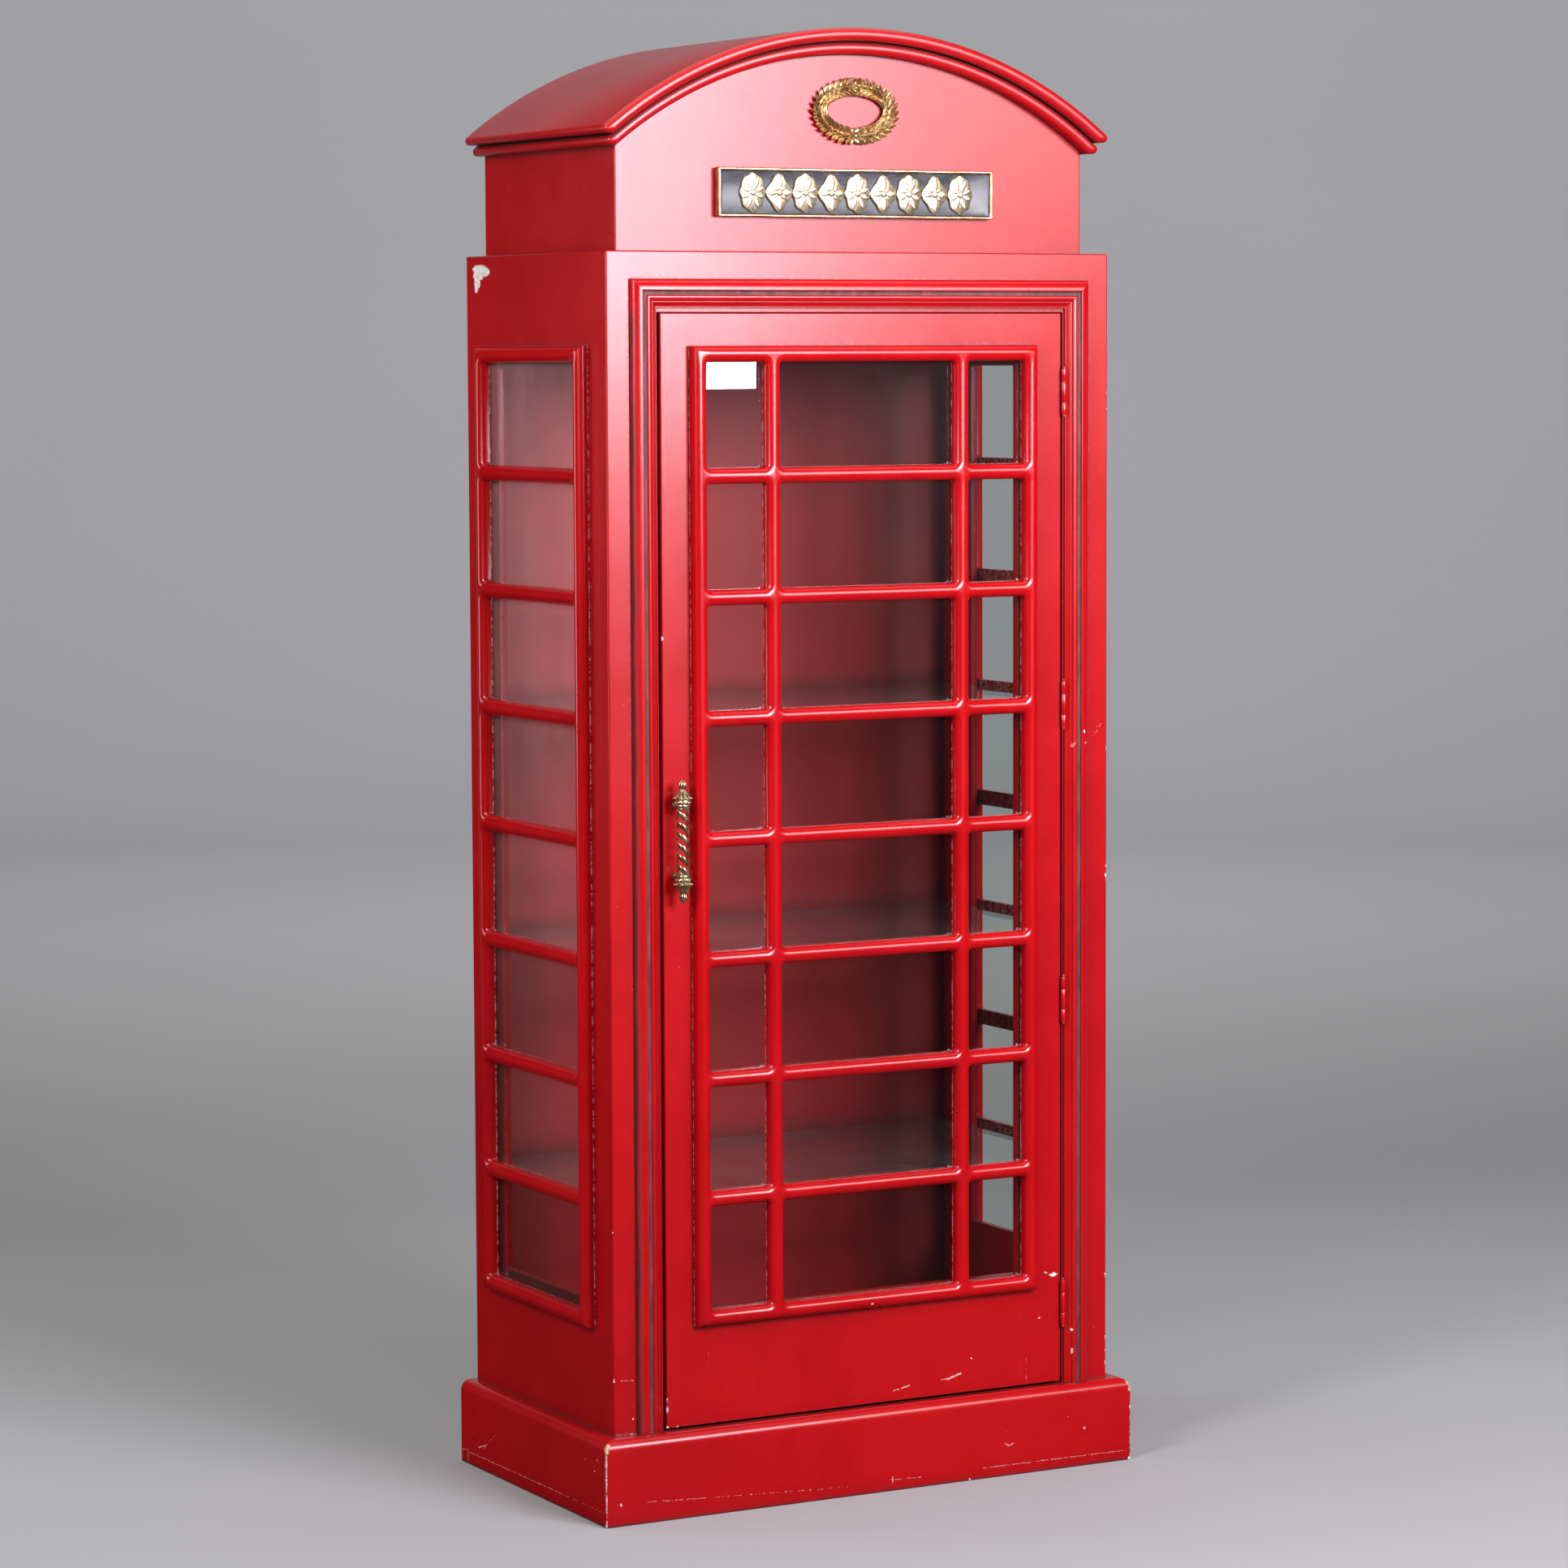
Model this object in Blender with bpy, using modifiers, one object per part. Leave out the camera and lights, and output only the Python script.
# Glazed display cabinet in the form of a street telephone kiosk.
# Painted timber carcass on a plinth, glazed sides and hinged glazed door with
# rounded glazing bars, three glass shelves, arched pediment and roof.
# Units are metres, +Z is up, the floor is z = 0. The door faces -Y and hinges
# at +X; "left" is -X, "right" is +X.
import bpy
import bmesh
import math

for old_object in list(bpy.data.objects):
    bpy.data.objects.remove(old_object, do_unlink=True)

MM = 0.001
GAP = 0.3 * MM                    # clearance between neighbouring pieces
SIDES = (("left", -1.0), ("right", 1.0))

# ---------------------------------------------------------- driving dimensions
BODY_W = 751.2 * MM               # carcass width
BODY_D = 420.5 * MM               # carcass depth
BODY_TOP = 1640.0 * MM            # top of the carcass
BOARD = 15.0 * MM                 # side, floor, ceiling and pediment boards
FACE_T = 20.0 * MM                # face frame thickness
BACK_T = 9.0 * MM                 # back panel thickness

PULL_OUT = 36.8 * MM              # front of the door pull ahead of the face frame
FRONT_Y = (PULL_OUT - BODY_D) / 2.0   # front of the face frame
BACK_Y = FRONT_Y + BODY_D         # back of the carcass
HALF_W = BODY_W / 2.0
INNER_X = HALF_W - BOARD          # inner face of the side boards
INNER_Y = FRONT_Y + FACE_T + GAP  # where the boards behind the face frame start

PLINTH_H = 112.5 * MM
PLINTH_OUT = 24.5 * MM            # plinth stands proud of the carcass
PLINTH_CHAMFER = 9.0 * MM

STILE_IN_L = -309.0 * MM          # inner edge of the left face stile
STILE_IN_R = 304.1 * MM           # inner edge of the right face stile
HEADER_Z = 1562.4 * MM            # underside of the face header

DOOR_X0, DOOR_X1 = -300.4 * MM, 300.4 * MM
DOOR_Z0, DOOR_Z1 = 115.5 * MM, 1561.0 * MM
DOOR_Y0 = FRONT_Y - 3.0 * MM      # door front, slightly proud of the face frame
DOOR_Y1 = DOOR_Y0 + 20.0 * MM     # door back

HINGE_X = 302.2 * MM              # hinge axis
HINGE_Y = FRONT_Y - 6.8 * MM

# Glazing grids of the door and the sides
BAR = 21.0 * MM                   # width of the upright bars
BAR_OUT = 16.6 * MM               # how far the bars stand proud
BAR_ROUND = 8.0 * MM
ROWS = 8
GRID_Z0, GRID_Z1 = 247.0 * MM, 1519.0 * MM
NOMINAL_PANE_H = 136.0 * MM       # clear pane height before the rows are fitted
# The nominal rows shrink slightly to fill the grid height
ROW_FIT = (GRID_Z1 - GRID_Z0) / (ROWS * NOMINAL_PANE_H + (ROWS + 1) * BAR)
PANE_H = NOMINAL_PANE_H * ROW_FIT
CROSSBAR = BAR * ROW_FIT          # height of the horizontal bars
ROW_PITCH = PANE_H + CROSSBAR
CLEAR_Z0 = GRID_Z0 + CROSSBAR     # glazed height between the end bars
CLEAR_Z1 = GRID_Z1 - CROSSBAR
DOOR_GRID_X0 = -260.0 * MM
DOOR_COLS = (86.0 * MM, 262.0 * MM, 86.0 * MM)
SIDE_GRID_Y0 = FRONT_Y + 52.0 * MM
SIDE_COLS = (274.5 * MM,)

GLASS_T = 4.0 * MM
GLASS_PLAY = 0.5 * MM             # edge clearance of the glass in its rebate
REBATE = 10.0 * MM                # bearing of the glass behind the grid
REBATE_DEPTH = GLASS_T + 2 * GAP
CUT_OVER = 10.0 * MM              # cutters overrun the faces they break through
REBATE_OVER = 5.0 * MM            # the same for the side rebates

# ------------------------------------------------------------------ finishes
RED_PAINT = dict(color=(0.42, 0.006, 0.010, 1.0))
INNER_PAINT = dict(color=(0.30, 0.006, 0.010, 1.0))
WINDOW_GLASS = dict(color=(0.85, 0.92, 0.90, 1.0), roughness=0.03, transmission=1.0)
SHELF_GLASS = dict(color=(0.80, 0.90, 0.86, 1.0), roughness=0.03, transmission=1.0)
STEEL = dict(color=(0.6, 0.6, 0.6, 1.0), roughness=0.3, metallic=1.0)
BROWN = dict(color=(0.35, 0.2, 0.12, 1.0), roughness=0.5)
GILT = dict(color=(0.55, 0.36, 0.16, 1.0), metallic=1.0)
SIGN_DARK = dict(color=(0.10, 0.06, 0.04, 1.0), roughness=0.4)
PULL_BRONZE = dict(color=(0.30, 0.20, 0.10, 1.0), roughness=0.4, metallic=1.0)


def material(name, color, roughness=0.35, metallic=0.0, transmission=0.0):
    mat = bpy.data.materials.new("mat_" + name)
    mat.use_nodes = True
    inputs = mat.node_tree.nodes.get("Principled BSDF").inputs
    inputs["Base Color"].default_value = color
    inputs["Roughness"].default_value = roughness
    inputs["Metallic"].default_value = metallic
    inputs["Transmission Weight"].default_value = transmission
    mat.diffuse_color = color
    return mat


# ------------------------------------------------------------------- helpers
PIECES = bpy.data.collections.new("telephone_kiosk_cabinet")
CUTTERS = bpy.data.collections.new("cutters")
for collection in (PIECES, CUTTERS):
    bpy.context.scene.collection.children.link(collection)


def add_piece(name, mesh, finish=RED_PAINT):
    """Visible piece with a material of its own."""
    piece = bpy.data.objects.new(name, mesh)
    PIECES.objects.link(piece)
    mesh.materials.append(material(name, **finish))
    return piece


def add_tool(name, mesh):
    """Hidden body that a boolean adds to or takes from a piece."""
    tool = bpy.data.objects.new(name, mesh)
    CUTTERS.objects.link(tool)
    tool.hide_render = True
    tool.display_type = "WIRE"
    return tool


def apply_tool(piece, tool, operation="DIFFERENCE"):
    modifier = piece.modifiers.new(tool.name, "BOOLEAN")
    modifier.operation = operation
    modifier.solver = "EXACT"
    modifier.object = tool


def finish_mesh(bm, name):
    bm.normal_update()
    bmesh.ops.recalc_face_normals(bm, faces=bm.faces)
    mesh = bpy.data.meshes.new(name)
    bm.to_mesh(mesh)
    bm.free()
    return mesh


def box_mesh(name, x0, x1, y0, y1, z0, z1):
    bm = bmesh.new()
    bmesh.ops.create_cube(bm, size=1.0)
    for vert in bm.verts:
        vert.co.x = x0 + (vert.co.x + 0.5) * (x1 - x0)
        vert.co.y = y0 + (vert.co.y + 0.5) * (y1 - y0)
        vert.co.z = z0 + (vert.co.z + 0.5) * (z1 - z0)
    return finish_mesh(bm, name)


def add_box(name, *bounds, finish=RED_PAINT, bevel=0.0):
    """Box from its x0, x1, y0, y1, z0, z1, with narrow edge chamfers if bevel is set."""
    piece = add_piece(name, box_mesh(name, *bounds), finish)
    if bevel > 0.0:
        modifier = piece.modifiers.new("edge_round", "BEVEL")
        modifier.width = bevel
        modifier.segments = 1
        modifier.limit_method = "ANGLE"
        modifier.angle_limit = math.radians(50.0)
    return piece


def add_cutter(name, *bounds):
    return add_tool(name, box_mesh(name, *bounds))


def loft(name, rings):
    """Closed body through equally long vertex rings, capped at both ends."""
    bm = bmesh.new()
    loops = [[bm.verts.new(point) for point in ring] for ring in rings]
    count = len(rings[0])
    for lower, upper in zip(loops[:-1], loops[1:]):
        for i in range(count):
            j = (i + 1) % count
            bm.faces.new((lower[i], lower[j], upper[j], upper[i]))
    bm.faces.new(loops[0])
    bm.faces.new(loops[-1])
    return finish_mesh(bm, name)


def loft_x(name, outline, x0, x1):
    """Prism of a (y, z) outline."""
    return loft(name, [[(x, y, z) for y, z in outline] for x in (x0, x1)])


def loft_y(name, sections):
    """Loft through (y, (x, z) outline) pairs."""
    return loft(name, [[(x, y, z) for x, z in outline] for y, outline in sections])


def loft_z(name, sections):
    """Loft through (z, (x, y) outline) pairs."""
    return loft(name, [[(x, y, z) for x, y in outline] for z, outline in sections])


def circle(x, y, radius, z, steps=20):
    """Level ring of points about a vertical axis."""
    angles = [2.0 * math.pi * i / steps for i in range(steps)]
    return [(x + radius * math.cos(a), y + radius * math.sin(a), z) for a in angles]


def side_span(sign, xa, xb):
    """The x range between two distances from the middle, on one side."""
    return sorted((sign * xa, sign * xb))


# ===================================================================== plinth
def plinth_board(name, foot, top):
    """Board whose upper outer edge is chamfered in two steps."""
    step = 0.3                    # share of the chamfer taken by the upper facet's height
    mid = [(xf + (xt - xf) * step, yf + (yt - yf) * step)
           for (xf, yf), (xt, yt) in zip(foot, top)]
    add_piece(name, loft_z(name, [
        (0.0, foot), (PLINTH_H - PLINTH_CHAMFER, foot),
        (PLINTH_H - PLINTH_CHAMFER * step, mid), (PLINTH_H, top)]))


plinth_in = HALF_W + GAP
plinth_out = HALF_W + PLINTH_OUT
plinth_front_y = FRONT_Y - PLINTH_OUT

# Side boards, mitred to the front board with a small gap
for side, sign in SIDES:
    inner_front = (sign * plinth_in, FRONT_Y + 0.75 * GAP)
    inner_back = (sign * plinth_in, BACK_Y)
    foot, top = [
        [inner_front, (sign * (plinth_out - inset), plinth_front_y + inset + 1.5 * GAP),
         (sign * (plinth_out - inset), BACK_Y), inner_back]
        for inset in (0.0, PLINTH_CHAMFER)]
    plinth_board("plinth_" + side, foot, top)

foot, top = [
    [(-plinth_in, FRONT_Y - GAP), (-(plinth_out - inset), plinth_front_y + inset),
     (plinth_out - inset, plinth_front_y + inset), (plinth_in, FRONT_Y - GAP)]
    for inset in (0.0, PLINTH_CHAMFER)]
plinth_board("plinth_front", foot, top)

# ==================================================================== carcass
# Floor panel and base board reach forward between the face stiles
floor_outline = [
    (STILE_IN_L + GAP, FRONT_Y), (STILE_IN_R - GAP, FRONT_Y),
    (STILE_IN_R - GAP, INNER_Y), (INNER_X - GAP, INNER_Y),
    (INNER_X - GAP, BACK_Y - BACK_T - GAP), (-INNER_X + GAP, BACK_Y - BACK_T - GAP),
    (-INNER_X + GAP, INNER_Y), (STILE_IN_L + GAP, INNER_Y)]
for name, z0, z1 in (("base_board", 0.0, 9.0 * MM),
                     ("floor_panel", 97.0 * MM, 112.0 * MM)):
    add_piece(name, loft_z(name, [(z0, floor_outline), (z1, floor_outline)]), INNER_PAINT)

add_box("ceiling_panel", -INNER_X + GAP, INNER_X - GAP, INNER_Y, BACK_Y - BACK_T - GAP,
        BODY_TOP - BOARD, BODY_TOP, finish=INNER_PAINT)
add_box("back_panel", -INNER_X + GAP, INNER_X - GAP, BACK_Y - BACK_T, BACK_Y,
        0.0, BODY_TOP, finish=INNER_PAINT)

# Face frame
for name, x0, x1, z0 in (("face_stile_left", -HALF_W, STILE_IN_L, 0.0),
                         ("face_stile_right", STILE_IN_R, HALF_W, 0.0),
                         ("face_header", STILE_IN_L + GAP, STILE_IN_R - GAP, HEADER_Z)):
    add_box(name, x0, x1, FRONT_Y, FRONT_Y + FACE_T, z0, BODY_TOP)


# ============================================================== glazing grids
def bar_lines(start, clear_widths, bar):
    """Alternating bar / pane boundaries along one direction."""
    lines = [start]
    for width in clear_widths:
        lines.append(lines[-1] + bar)
        lines.append(lines[-1] + width)
    lines.append(lines[-1] + bar)
    return lines


ROW_LINES = bar_lines(GRID_Z0, [PANE_H] * ROWS, CROSSBAR)


def grid_mesh(name, columns, rows, place):
    """Grid of bars with open panes; place(across, height, proud) gives a point."""
    bm = bmesh.new()
    corners = {}

    def corner(i, k):
        if (i, k) not in corners:
            corners[(i, k)] = bm.verts.new(place(columns[i], rows[k], GAP))
        return corners[(i, k)]

    for i in range(len(columns) - 1):
        for k in range(len(rows) - 1):
            if i % 2 == 1 and k % 2 == 1:
                continue          # pane
            bm.faces.new((corner(i, k), corner(i + 1, k),
                          corner(i + 1, k + 1), corner(i, k + 1)))
    extruded = bmesh.ops.extrude_face_region(bm, geom=bm.faces[:])
    front_verts = {g for g in extruded["geom"] if isinstance(g, bmesh.types.BMVert)}
    front = place(0.0, 0.0, BAR_OUT)
    back = place(0.0, 0.0, GAP)
    for vert in front_verts:
        vert.co.x += front[0] - back[0]
        vert.co.y += front[1] - back[1]
    bmesh.ops.recalc_face_normals(bm, faces=bm.faces)
    # Weight the sharp front edges, which the bevel then rounds
    weights = bm.edges.layers.float.new("bevel_weight_edge")
    for edge in bm.edges:
        if all(v in front_verts for v in edge.verts) and len(edge.link_faces) == 2:
            if edge.link_faces[0].normal.dot(edge.link_faces[1].normal) < 0.5:
                edge[weights] = 1.0
    mesh = bpy.data.meshes.new(name)
    bm.to_mesh(mesh)
    bm.free()
    return mesh


def add_grid(name, columns, place):
    piece = add_piece(name, grid_mesh(name, columns, ROW_LINES, place))
    modifier = piece.modifiers.new("bar_round", "BEVEL")
    modifier.width = BAR_ROUND
    modifier.segments = 2
    modifier.limit_method = "WEIGHT"


# ============================================================== glazed sides
SIDE_LIP = 14.0 * MM              # side boards reach inside the grid opening:
SIDE_LIP_LOW = 11.2 * MM          # at front and back, at the bottom
SIDE_LIP_TOP = 7.0 * MM           # and at the top

side_lines = bar_lines(SIDE_GRID_Y0, SIDE_COLS, BAR)
side_y0, side_y1 = side_lines[1], side_lines[-2]
for side, sign in SIDES:
    x0, x1 = side_span(sign, HALF_W, INNER_X)
    panel = add_box("side_panel_" + side, x0, x1, INNER_Y, BACK_Y, 0.0, BODY_TOP)
    apply_tool(panel, add_cutter(
        "cut_window_" + side, x0 - CUT_OVER, x1 + CUT_OVER,
        side_y0 + SIDE_LIP, side_y1 - SIDE_LIP,
        CLEAR_Z0 + SIDE_LIP_LOW, CLEAR_Z1 - SIDE_LIP_TOP))
    apply_tool(panel, add_cutter(
        "cut_rebate_" + side, *side_span(sign, HALF_W + REBATE_OVER, HALF_W - REBATE_DEPTH),
        side_y0 - REBATE, side_y1 + REBATE, CLEAR_Z0 - REBATE, CLEAR_Z1 + REBATE))
    add_box("side_glass_" + side, *side_span(sign, HALF_W - GAP, HALF_W - GAP - GLASS_T),
            side_y0 - REBATE + GLASS_PLAY, side_y1 + REBATE - GLASS_PLAY,
            CLEAR_Z0 - REBATE + GLASS_PLAY, CLEAR_Z1 + REBATE - GLASS_PLAY,
            finish=WINDOW_GLASS)
    add_grid("side_grid_" + side, side_lines,
             lambda across, height, proud: (sign * (HALF_W + proud), across, height))

# ============================================================== door surround
# Moulding section in mm: distance inward from the outer edge, height proud
SURROUND_PROFILE = (
    (0.0, 0.0), (0.0, 0.8), (1.0, 4.6), (3.6, 7.8), (7.6, 9.9),
    (14.0, 10.6), (14.8, 8.0), (21.0, 8.0), (21.4, 9.8), (27.0, 9.0),
    (28.2, 7.0), (30.0, 7.2), (33.6, 4.1), (37.0, 3.6), (37.0, 0.0))
SURROUND_W = SURROUND_PROFILE[-1][0] * MM
SURROUND_OUT = 306.2 * MM + SURROUND_W    # outer edge, from the inner edge
SURROUND_TOP = 1567.5 * MM + SURROUND_W   # upper edge, from the lower edge of the top length

# The same section as outer x, y and upper z of the mitre line
mitre = [(SURROUND_OUT - inward * MM, FRONT_Y - GAP - proud * MM, SURROUND_TOP - inward * MM)
         for inward, proud in SURROUND_PROFILE]
for side, sign in SIDES:
    add_piece("surround_" + side, loft("surround_" + side, [
        [(sign * x, y, PLINTH_H + GAP) for x, y, z in mitre],
        [(sign * x, y, z - GAP) for x, y, z in mitre]]))
add_piece("surround_top", loft("surround_top", [
    [(-x + GAP, y, z) for x, y, z in mitre],
    [(x - GAP, y, z) for x, y, z in mitre]]))

# ==================================================================== shelves
SHELF_T = 6.0 * MM
# Each shelf sits behind a horizontal bar, counted down from the topmost (0)
SHELF_BARS = (("upper", 3), ("middle", 5), ("lower", 7))
PIN_RADIUS = 3.0 * MM
PIN_LENGTH = 11.0 * MM
PIN_SPOTS = (("front", FRONT_Y + 60.0 * MM), ("rear", FRONT_Y + 370.0 * MM))


def shelf_pin(name, sign, pin_y, pin_z):
    """Cylinder along X, standing out of the inner face of a side board."""
    bm = bmesh.new()
    bmesh.ops.create_cone(bm, cap_ends=True, segments=12, radius1=PIN_RADIUS,
                          radius2=PIN_RADIUS, depth=PIN_LENGTH)
    centre_x = sign * (INNER_X - GAP - PIN_LENGTH / 2.0)
    for vert in bm.verts:
        x, y, z = vert.co
        vert.co = (centre_x + z, pin_y + y, pin_z + x)
    add_piece(name, finish_mesh(bm, name), STEEL)


for level, bar_number in SHELF_BARS:
    shelf_z = CLEAR_Z1 - bar_number * ROW_PITCH + CROSSBAR / 2.0
    add_box("shelf_" + level, -INNER_X + 1.5 * MM, INNER_X - 1.5 * MM,
            FRONT_Y + 26.0 * MM, BACK_Y - BACK_T - 4.0 * MM,
            shelf_z - SHELF_T / 2.0, shelf_z + SHELF_T / 2.0,
            finish=SHELF_GLASS, bevel=0.8 * MM)
    for side, sign in SIDES:
        for spot, pin_y in PIN_SPOTS:
            shelf_pin("shelf_pin_%s_%s_%s" % (level, side, spot), sign, pin_y,
                      shelf_z - SHELF_T / 2.0 - GAP - PIN_RADIUS)

# Magnetic catch on the back of the left face stile
add_box("catch_magnet", -342.0 * MM, -290.0 * MM, INNER_Y, FRONT_Y + FACE_T + 12.0 * MM,
        1100.0 * MM, 1116.0 * MM, finish=BROWN, bevel=1.0 * MM)

# =================================================================== pediment
ARC_Z = 1330.0 * MM               # centre height of the pediment and roof arcs
PED_RADIUS = 566.0 * MM
PED_INSET = 27.0 * MM             # set back from the carcass front and sides
PED_BACK_INSET = 5.0 * MM
PED_SIDE_TOP = 1775.0 * MM

ped_x = HALF_W - PED_INSET
ped_y0 = FRONT_Y + PED_INSET
ped_y1 = BACK_Y - PED_BACK_INSET
ped_z0 = BODY_TOP + GAP


def arch_outline(half_width, z_low, radius, steps=28):
    """Level bottom edge, then the arc from right to left."""
    points = [(-half_width, z_low), (half_width, z_low)]
    half_angle = math.asin(half_width / radius)
    for i in range(steps + 1):
        angle = half_angle - 2.0 * half_angle * i / steps
        points.append((radius * math.sin(angle), ARC_Z + radius * math.cos(angle)))
    return points


arch = arch_outline(ped_x, ped_z0, PED_RADIUS)
for name, y0, y1 in (("pediment_front", ped_y0, ped_y0 + BOARD),
                     ("pediment_back", ped_y1 - BOARD, ped_y1)):
    add_piece(name, loft_y(name, [(y0, arch), (y1, arch)]))
for side, sign in SIDES:
    add_box("pediment_" + side, *side_span(sign, ped_x, ped_x - BOARD),
            ped_y0 + BOARD + GAP, ped_y1 - BOARD - GAP, ped_z0, PED_SIDE_TOP)

# ======================================================================= roof
END_ROUND = 6.0 * MM              # rounding of the board ends
MIN_END_ROUND = 0.2 * MM


def roof_outline(outer, inner, end_z, inset, arc_steps=15, end_steps=4):
    """Bent board seen from the front, shrunk all round by inset."""
    outer -= inset
    inner += inset
    end_z += inset
    end_radius = max(END_ROUND - inset, MIN_END_ROUND)
    centre_z = end_z + end_radius
    centre_x = math.sqrt((outer - end_radius) ** 2 - (centre_z - ARC_Z) ** 2)
    outer_angle = math.atan2(centre_x, centre_z - ARC_Z)
    inner_x = math.sqrt(inner ** 2 - (end_z - ARC_Z) ** 2)
    inner_angle = math.atan2(inner_x, end_z - ARC_Z)
    # Right half, from the top middle round the end to the underside middle
    half = []
    for i in range(arc_steps + 1):
        angle = outer_angle * i / arc_steps
        half.append((outer * math.sin(angle), ARC_Z + outer * math.cos(angle)))
    for i in range(1, end_steps + 1):
        angle = outer_angle + (math.pi - outer_angle) * i / end_steps
        half.append((centre_x + end_radius * math.sin(angle),
                     centre_z + end_radius * math.cos(angle)))
    for i in range(arc_steps + 1):
        angle = inner_angle * (1.0 - i / arc_steps)
        half.append((inner * math.sin(angle), ARC_Z + inner * math.cos(angle)))
    return half + [(-x, z) for x, z in reversed(half[1:-1])]


def roof_board(name, outer, inner, end_z, front_y, front_round, back_y):
    """Bent board with a rounded front edge."""
    sections = []
    for degrees in (2.0, 30.0, 60.0, 90.0):
        angle = math.radians(degrees)
        inset = front_round * (1.0 - math.sin(angle))
        sections.append((front_y + front_round * (1.0 - math.cos(angle)),
                         roof_outline(outer, inner, end_z, inset)))
    sections.append((back_y, roof_outline(outer, inner, end_z, 0.0)))
    add_piece(name, loft_y(name, sections))


roof_board("roof_lower", outer=582.7 * MM, inner=566.3 * MM, end_z=1773.5 * MM,
           front_y=FRONT_Y + 8.0 * MM, front_round=7.9 * MM, back_y=BACK_Y - 6.0 * MM)
roof_board("roof_upper", outer=600.0 * MM, inner=583.0 * MM, end_z=1788.0 * MM,
           front_y=FRONT_Y - 2.5 * MM, front_round=8.2 * MM, back_y=BACK_Y - 3.0 * MM)

# ================================================================== ornaments
ORNAMENT_Y = ped_y0 - GAP         # back of both ornaments

EMBLEM_Z = 1822.6 * MM
EMBLEM_HALF_W, EMBLEM_HALF_H = 61.0 * MM, 42.0 * MM
EMBLEM_BAND = 9.0 * MM            # half width of the leafy band
EMBLEM_T = 10.0 * MM
LOBE_NOTCH = 0.84                 # band width between the lobes
# Band section: across in half band widths, proud in thicknesses
EMBLEM_SECTION = ((-1.0, 0.0), (1.0, 0.0), (1.0, 0.35), (0.55, 0.85),
                  (0.0, 1.0), (-0.55, 0.85), (-1.0, 0.35))


def wreath_mesh(name, steps=44):
    """Closed oval band with a lobed outline and a crowned front."""
    bm = bmesh.new()
    rings = []
    for i in range(steps):
        angle = 2.0 * math.pi * i / steps
        lobe = 1.0 if i % 2 else LOBE_NOTCH
        ring = []
        for across, proud in EMBLEM_SECTION:
            offset = EMBLEM_BAND * across * lobe
            radius_x = EMBLEM_HALF_W - EMBLEM_BAND + offset
            radius_z = EMBLEM_HALF_H - EMBLEM_BAND + offset
            ring.append(bm.verts.new((radius_x * math.sin(angle),
                                      ORNAMENT_Y - EMBLEM_T * proud,
                                      EMBLEM_Z + radius_z * math.cos(angle))))
        rings.append(ring)
    count = len(EMBLEM_SECTION)
    for i in range(steps):
        here, ahead = rings[i], rings[(i + 1) % steps]
        for k in range(count):
            j = (k + 1) % count
            bm.faces.new((here[k], here[j], ahead[j], ahead[k]))
    return finish_mesh(bm, name)


add_piece("pediment_emblem", wreath_mesh("pediment_emblem"), GILT)

SIGN_HALF_W, SIGN_HALF_H, SIGN_Z = 205.0 * MM, 31.6 * MM, 1716.2 * MM
SIGN_CORNER = 3.0                 # outer corner radius, mm
# Raised rim round a sunk field, in mm: inset from the edge, height proud
SIGN_SECTION = ((0.0, 0.0), (0.0, 11.0), (1.0, 12.0), (3.6, 12.0), (4.6, 8.0))


def rounded_rect(half_w, half_h, radius, centre_z, steps=4):
    points = []
    for sign_x, sign_z, start in ((1, 1, 0.0), (1, -1, 90.0), (-1, -1, 180.0), (-1, 1, 270.0)):
        for i in range(steps + 1):
            angle = math.radians(start + 90.0 * i / steps)
            points.append((sign_x * (half_w - radius) + radius * math.sin(angle),
                           centre_z + sign_z * (half_h - radius) + radius * math.cos(angle)))
    return points


add_piece("sign_plate", loft_y("sign_plate", [
    (ORNAMENT_Y - proud * MM,
     rounded_rect(SIGN_HALF_W - inset * MM, SIGN_HALF_H - inset * MM,
                  (SIGN_CORNER - inset * 0.5) * MM, SIGN_Z))
    for inset, proud in SIGN_SECTION]), SIGN_DARK)

# ======================================================================= door
open_x0 = DOOR_GRID_X0 + BAR
open_x1 = open_x0 + sum(DOOR_COLS) + 2.0 * BAR

door_rebate = add_cutter("cut_door_rebate", open_x0 - REBATE, open_x1 + REBATE,
                         DOOR_Y0 - CUT_OVER, DOOR_Y0 + REBATE_DEPTH,
                         CLEAR_Z0 - REBATE, CLEAR_Z1 + REBATE)
for name, x0, x1, z0, z1 in (
        ("door_stile_left", DOOR_X0, open_x0, DOOR_Z0, DOOR_Z1),
        ("door_stile_right", open_x1, DOOR_X1, DOOR_Z0, DOOR_Z1),
        ("door_rail_top", open_x0 + GAP, open_x1 - GAP, CLEAR_Z1, DOOR_Z1),
        ("door_rail_bottom", open_x0 + GAP, open_x1 - GAP, DOOR_Z0, CLEAR_Z0)):
    apply_tool(add_box(name, x0, x1, DOOR_Y0, DOOR_Y1, z0, z1), door_rebate)

add_box("door_glass", open_x0 - REBATE + GLASS_PLAY, open_x1 + REBATE - GLASS_PLAY,
        DOOR_Y0 + GAP, DOOR_Y0 + GAP + GLASS_T,
        CLEAR_Z0 - REBATE + GLASS_PLAY, CLEAR_Z1 + REBATE - GLASS_PLAY, finish=WINDOW_GLASS)
add_grid("door_grid", bar_lines(DOOR_GRID_X0, DOOR_COLS, BAR),
         lambda across, height, proud: (across, DOOR_Y0 - proud, height))
add_box("catch_plate", -299.0 * MM, -286.5 * MM, DOOR_Y1 + GAP, DOOR_Y1 + 2.3 * MM,
        1099.0 * MM, 1117.0 * MM, finish=STEEL)

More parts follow.
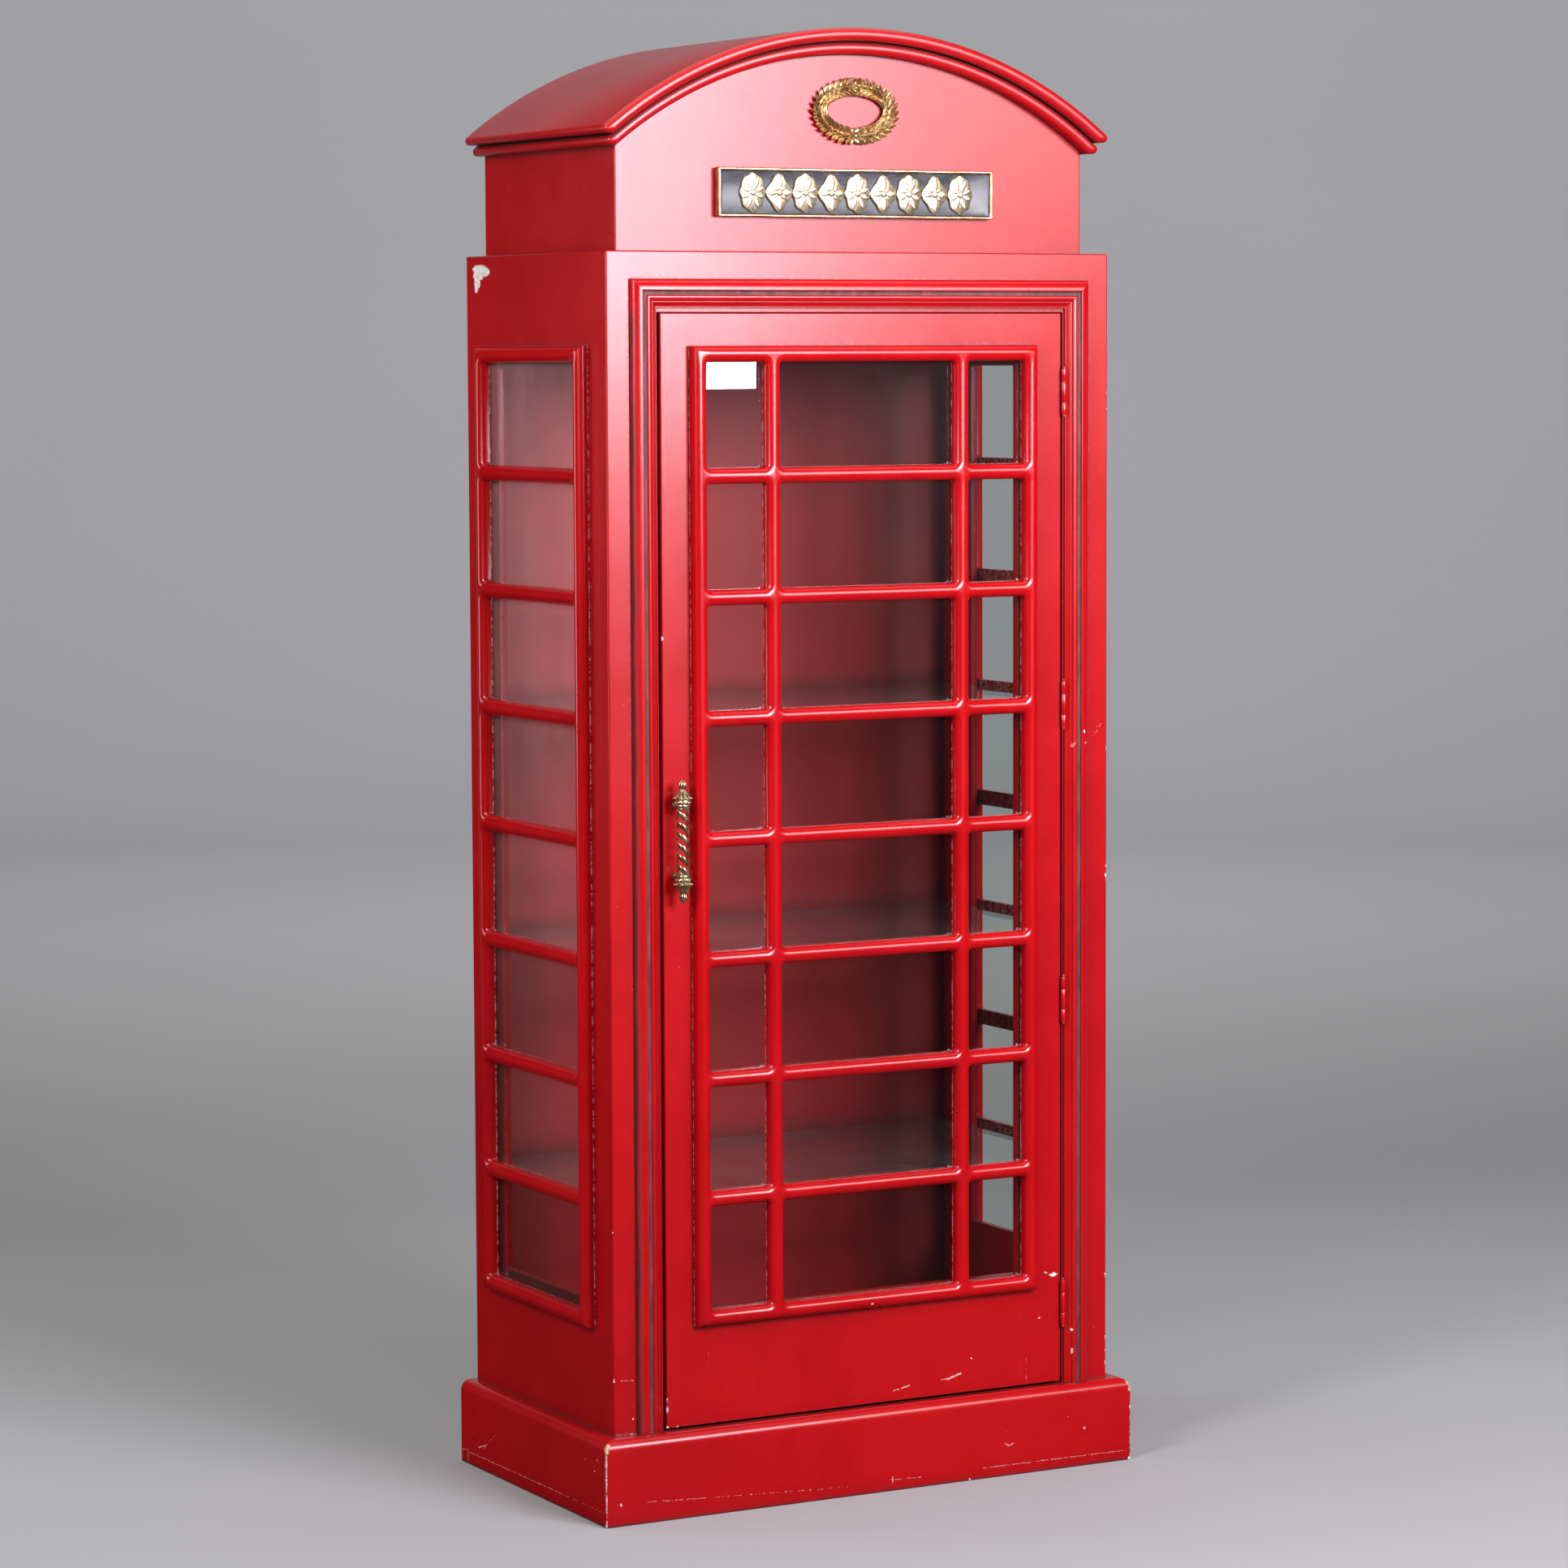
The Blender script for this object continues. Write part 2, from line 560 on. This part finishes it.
# ================================================================== door pull
# Turned profile in mm: radius, z
PULL_PROFILE = (
    (1.4, 805.3), (4.4, 808.0), (4.9, 811.0), (3.2, 815.8), (4.9, 817.0), (10.6, 825.5),
    (12.4, 828.0), (12.4, 830.6), (10.4, 832.5), (9.6, 836.0), (9.2, 840.0), (7.2, 842.0),
    (8.6, 846.0), (9.0, 885.0), (8.6, 924.0), (7.2, 928.4), (9.2, 930.0), (9.6, 932.5),
    (10.4, 934.0), (10.4, 937.4), (12.8, 939.5), (12.4, 941.5), (8.4, 947.0), (5.2, 952.0),
    (5.0, 957.5), (3.6, 961.5), (1.4, 964.2))
PULL_X = -283.0 * MM
PULL_Y = FRONT_Y - (PULL_OUT - max(radius for radius, z in PULL_PROFILE) * MM)
POST_Z = (838.0 * MM, 930.0 * MM)
# Post: radius in mm, share of the way from the pull axis to the door
POST_PROFILE = ((4.0, 0.0), (3.6, 0.5), (4.4, 0.8), (7.0, 0.88), (7.0, 1.0))
POST_STEPS = 14

pull = add_piece("door_pull", loft("door_pull", [
    circle(PULL_X, PULL_Y, radius * MM, z * MM) for radius, z in PULL_PROFILE]), PULL_BRONZE)
post_length = (DOOR_Y0 - GAP) - PULL_Y
for i, post_z in enumerate(POST_Z):
    name = "tool_pull_post_%d" % i
    angles = [2.0 * math.pi * j / POST_STEPS for j in range(POST_STEPS)]
    rings = [[(PULL_X + radius * MM * math.cos(a), PULL_Y + post_length * share,
               post_z + radius * MM * math.sin(a)) for a in angles]
             for radius, share in POST_PROFILE]
    apply_tool(pull, add_tool(name, loft(name, rings)), "UNION")

# ===================================================================== hinges
HINGE_Z = (1456.7 * MM, 1038.1 * MM, 639.0 * MM, 223.9 * MM)   # middles
KNUCKLE_R = 3.5 * MM
KNUCKLE_END = 16.0 * MM           # length of each end knuckle
KNUCKLE_MID = 27.5 * MM           # length of the middle knuckle
KNUCKLE_GAP = 0.25 * MM
PIN_R = 1.5 * MM
BORE_R = PIN_R + 0.07 * MM        # with running clearance
BORE_OVER = 2.0 * MM
# Finial beyond each end knuckle, outermost first: radius, distance past the knuckle
FINIAL = ((0.8 * MM, 4.5 * MM), (2.2 * MM, 3.0 * MM), (2.2 * MM, 1.2 * MM),
          (KNUCKLE_R, 0.2 * MM))
# Leaf plates: x range from the axis, and their y stations
FRAME_PLATE_X = (HINGE_X + 0.35 * MM, HINGE_X + 1.55 * MM)
DOOR_PLATE_X = (HINGE_X - 1.45 * MM, HINGE_X - 0.25 * MM)
PLATE_FRONT = HINGE_Y + 0.2 * MM  # where the plate meets its knuckles
PLATE_STEP = HINGE_Y + 4.2 * MM   # cut back beside the other leaf's knuckles
PLATE_BACK = FRONT_Y + 14.0 * MM


def hinge_tube(name, stations):
    """Turned body on the hinge axis from (radius, z) stations."""
    return loft(name, [circle(HINGE_X, HINGE_Y, radius, z) for radius, z in stations])


def add_hinge(tag, centre_z):
    mid0, mid1 = centre_z - KNUCKLE_MID / 2.0, centre_z + KNUCKLE_MID / 2.0
    low, high = mid0 - KNUCKLE_END, mid1 + KNUCKLE_END
    gap0, gap1 = mid0 - KNUCKLE_GAP, mid1 + KNUCKLE_GAP

    # Frame leaf: finials, end knuckles and pin in one body, with a plate
    name = "hinge_%s_frame_leaf" % tag
    frame_leaf = add_piece(name, hinge_tube(
        name,
        [(radius, low - past) for radius, past in FINIAL]
        + [(KNUCKLE_R, gap0), (PIN_R, gap0), (PIN_R, gap1), (KNUCKLE_R, gap1)]
        + [(radius, high + past) for radius, past in reversed(FINIAL)]))
    outline = [(PLATE_FRONT, low), (PLATE_BACK, low), (PLATE_BACK, high), (PLATE_FRONT, high),
               (PLATE_FRONT, gap1), (PLATE_STEP, gap1), (PLATE_STEP, gap0), (PLATE_FRONT, gap0)]
    name = "tool_frame_plate_" + tag
    apply_tool(frame_leaf, add_tool(name, loft_x(name, outline, *FRAME_PLATE_X)), "UNION")

    # Door leaf: plate with the middle knuckle, bored for the pin
    outline = [(PLATE_FRONT, mid0), (PLATE_STEP, mid0), (PLATE_STEP, low), (PLATE_BACK, low),
               (PLATE_BACK, high), (PLATE_STEP, high), (PLATE_STEP, mid1), (PLATE_FRONT, mid1)]
    name = "hinge_%s_door_leaf" % tag
    door_leaf = add_piece(name, loft_x(name, outline, *DOOR_PLATE_X))
    name = "tool_knuckle_" + tag
    knuckle = hinge_tube(name, [(KNUCKLE_R, mid0), (KNUCKLE_R, mid1)])
    apply_tool(door_leaf, add_tool(name, knuckle), "UNION")
    name = "cut_bore_" + tag
    bore = hinge_tube(name, [(BORE_R, mid0 - BORE_OVER), (BORE_R, mid1 + BORE_OVER)])
    apply_tool(door_leaf, add_tool(name, bore))


for i, centre_z in enumerate(HINGE_Z):
    add_hinge(str(i + 1), centre_z)


# ------------------------------------------------------- grouping under empties
def add_empty(name, location):
    empty = bpy.data.objects.new(name, None)
    empty.location = location
    PIECES.objects.link(empty)
    return empty


def is_door_piece(name):
    return name.startswith("door_") or name.endswith("_door_leaf") or name == "catch_plate"


cabinet_root = add_empty("cabinet_root", (0.0, 0.0, 0.0))
door_root = add_empty("door_root", (HINGE_X, HINGE_Y, 0.0))
for piece in list(PIECES.objects):
    if piece.type != "MESH":
        continue
    if is_door_piece(piece.name):
        # Put the origin on the hinge axis, so the door turns about it
        for vert in piece.data.vertices:
            vert.co.x -= HINGE_X
            vert.co.y -= HINGE_Y
        piece.parent = door_root
    else:
        piece.parent = cabinet_root
door_root.parent = cabinet_root
